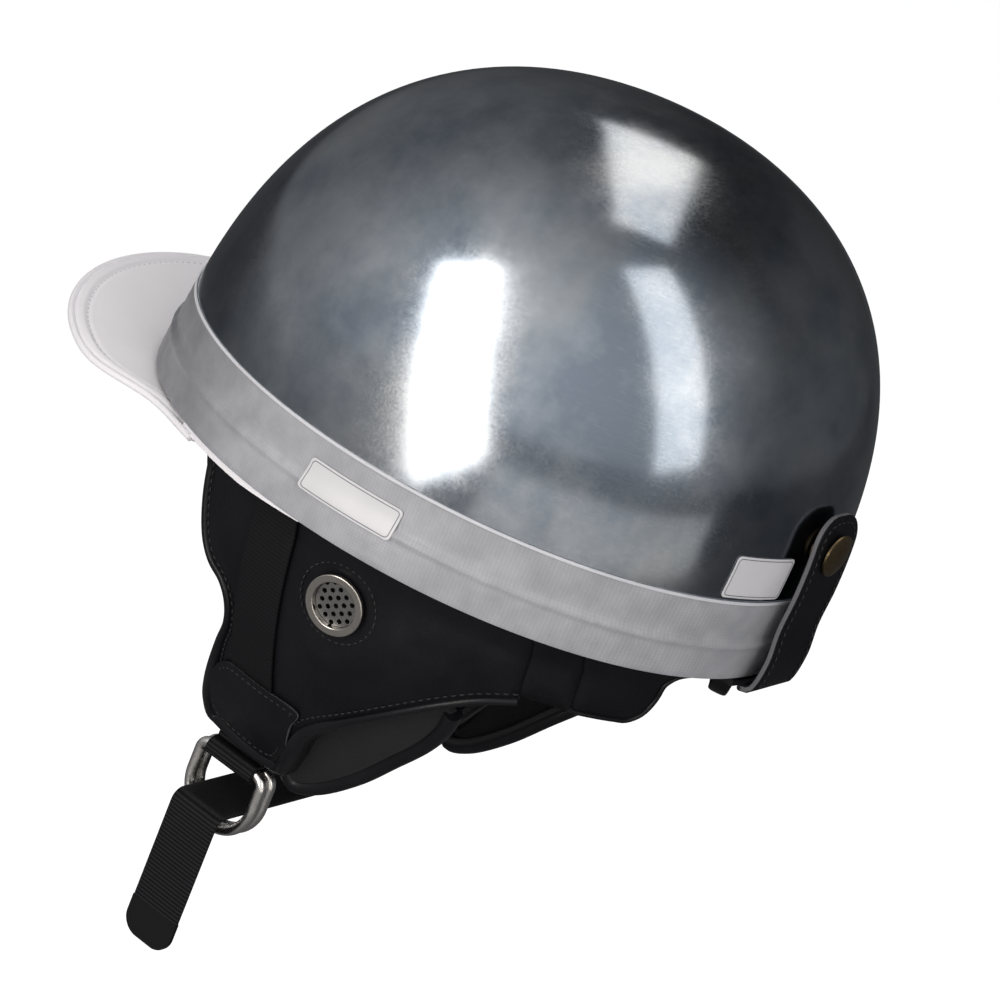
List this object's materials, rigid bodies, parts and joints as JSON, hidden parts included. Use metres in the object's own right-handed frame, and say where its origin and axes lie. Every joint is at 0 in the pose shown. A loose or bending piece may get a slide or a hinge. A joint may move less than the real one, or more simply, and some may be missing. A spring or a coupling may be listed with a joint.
{
  "type": "half shell motorcycle helmet",
  "caption": "Half shell motorcycle helmet: bare metal dome, soft white peak, padded leather ear and neck flaps, double D-ring chin strap and snap-closed goggle strap.",
  "frame": {"origin": "middle of the shell's rim, in the rim plane, where the wearer's head goes in", "axes": "+Z points to the crown, -Y to the front (the peak's side), +X to the wearer's left ear"},
  "size_m": [0.2113, 0.3079, 0.3486],
  "materials": {
    "shell": "semi-polished bare steel",
    "trim": "moulded edge trim",
    "tape": "silver-grey woven cloth tape",
    "foam": "black expanded foam",
    "lining": "black brushed lining cloth",
    "peak_leather": "white soft leatherette",
    "black_leather": "smooth black faux leather",
    "webbing": "black twill webbing",
    "nickel": "polished nickel",
    "dark_disc": "black perforated disc",
    "antique_brass": "antique brass",
    "rivet_steel": "plain steel",
    "blank_sticker": "blank white sticker"
  },
  "bodies": {
    "root": {"outer_shell": "shell", "rim_trim": "trim", "rim_tape": "tape", "foam_liner": "foam", "liner_cover": "lining", "headband": "lining", "crown_pad": "lining", "peak": "peak_leather", "peak_piping": "peak_leather", "left_ear_flap": "black_leather", "left_binding": "black_leather", "left_keeper_patch": "black_leather", "right_ear_flap": "black_leather", "right_binding": "black_leather", "right_keeper_patch": "black_leather", "left_vent_flange": "nickel", "left_vent_disc": "dark_disc", "left_vent_washer": "nickel", "right_vent_flange": "nickel", "right_vent_disc": "dark_disc", "right_vent_washer": "nickel", "left_upper_strap": "webbing", "right_upper_strap": "webbing", "gusset_left": "black_leather", "gusset_right": "black_leather", "neck_flap": "black_leather", "anchor_rivet_left": "rivet_steel", "anchor_rivet_right": "rivet_steel", "goggle_base_rivet": "rivet_steel", "d_ring_hanger": "webbing", "right_strap_stub": "webbing", "chin_strap": "webbing", "goggle_base": "black_leather", "snap_stud": "antique_brass", "side_label": "blank_sticker", "rear_label": "blank_sticker"},
    "d_ring_inner": {"d_ring_inner": "nickel"},
    "d_ring_outer": {"d_ring_outer": "nickel"},
    "strap_tail": {"strap_tail": "webbing", "tail_tip": "webbing"},
    "goggle_strap": {"goggle_strap": "black_leather", "snap_cap": "antique_brass", "snap_socket": "antique_brass"}
  },
  "joints": [
    {"name": "goggle_strap_swing", "type": "hinge", "parent": "root", "child": "goggle_strap", "pos_m": [0, 0.1304, -0.0036], "axis": [-1, 0, 0], "range_deg": [0, 90]},
    {"name": "inner_ring_swing", "type": "hinge", "parent": "root", "child": "d_ring_inner", "pos_m": [0.04579, -0.02, -0.1195], "axis": [0, 1, 0], "range_deg": [0, 14]},
    {"name": "outer_ring_swing", "type": "hinge", "parent": "root", "child": "d_ring_outer", "pos_m": [0.05099, -0.02, -0.1195], "axis": [0, 1, 0], "range_deg": [0, 14]},
    {"name": "tail_swing", "type": "hinge", "parent": "root", "child": "strap_tail", "pos_m": [0.06299, -0.02, -0.1416], "axis": [0, 1, 0], "range_deg": [-35, 12]}
  ],
  "couplings": [
    {"joint": "outer_ring_swing", "follows": "inner_ring_swing", "ratio": 1}
  ]
}
